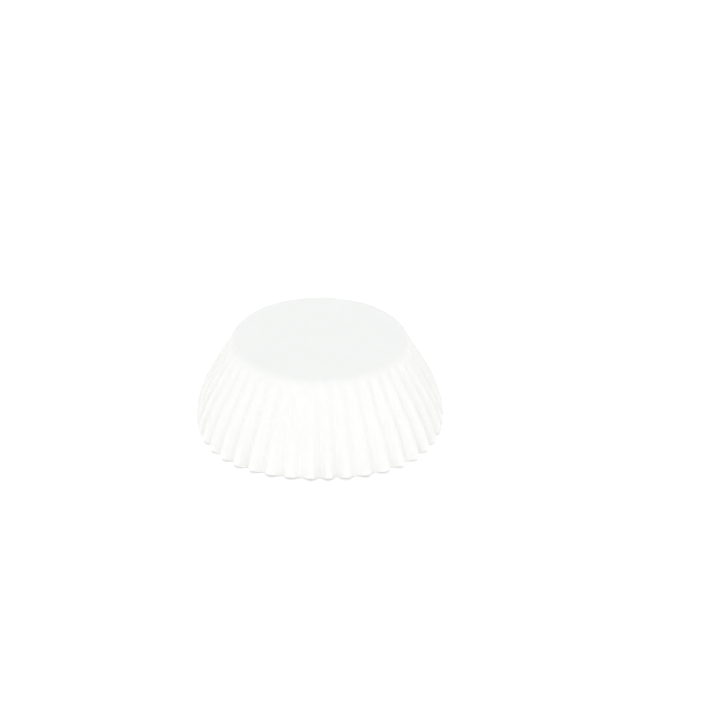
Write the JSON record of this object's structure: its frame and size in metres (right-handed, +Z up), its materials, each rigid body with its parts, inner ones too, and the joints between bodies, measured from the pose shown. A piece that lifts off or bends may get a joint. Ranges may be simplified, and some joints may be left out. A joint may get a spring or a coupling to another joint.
{
  "type": "cupcake liner",
  "caption": "Pleated white paper baking cup with a flat round base, standing upside down on its rim. It lines a muffin tin and holds the batter.",
  "frame": {"origin": "on the cup's axis, at the level that its rim stands on", "axes": "+Z up along the cup's axis, from the open rim to the flat base; a pleat's valley lies on -Y and on +Y, and a crest on +X and on -X"},
  "size_m": [0.0744, 0.0742, 0.0252],
  "materials": {
    "liner_paper": "matte greaseproof paper, white, uncoated"
  },
  "bodies": {
    "root": {"liner": "liner_paper"}
  },
  "joints": []
}
